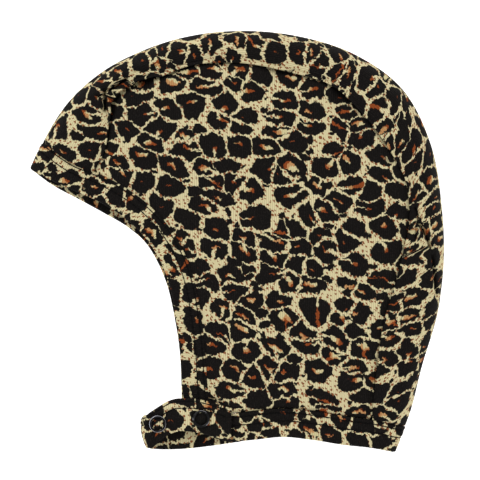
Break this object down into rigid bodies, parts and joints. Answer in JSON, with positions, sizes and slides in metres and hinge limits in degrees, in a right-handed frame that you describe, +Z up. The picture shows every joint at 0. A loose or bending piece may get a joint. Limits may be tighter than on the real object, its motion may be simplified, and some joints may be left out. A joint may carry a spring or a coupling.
{
  "type": "baby beanie bonnet",
  "caption": "Soft baby beanie in bonnet cut, lying flat on its side: two side panels, a centre panel, bands round face and neck, and a chin strap with ring snaps.",
  "frame": {"origin": "centre of the object's outline as it lies, on the surface that it lies on", "axes": "+Z up from the surface, +Y from the neck towards the crown, -X towards the forehead and the face opening"},
  "size_m": [0.1934, 0.1966, 0.0176],
  "materials": {
    "printed_jersey": "soft rib jersey with a printed leopard pattern in black, brown and beige",
    "black_enamel": "glossy black enamel",
    "snap_steel": "plain pressed steel"
  },
  "bodies": {
    "root": {"left_side_panel": "printed_jersey", "right_side_panel": "printed_jersey", "centre_panel": "printed_jersey", "face_band": "printed_jersey", "neck_band": "printed_jersey", "chin_strap": "printed_jersey", "snap_ring_fold": "black_enamel", "snap_clasp_fold": "snap_steel", "snap_ring_end": "black_enamel", "snap_clasp_end": "snap_steel"}
  },
  "joints": []
}
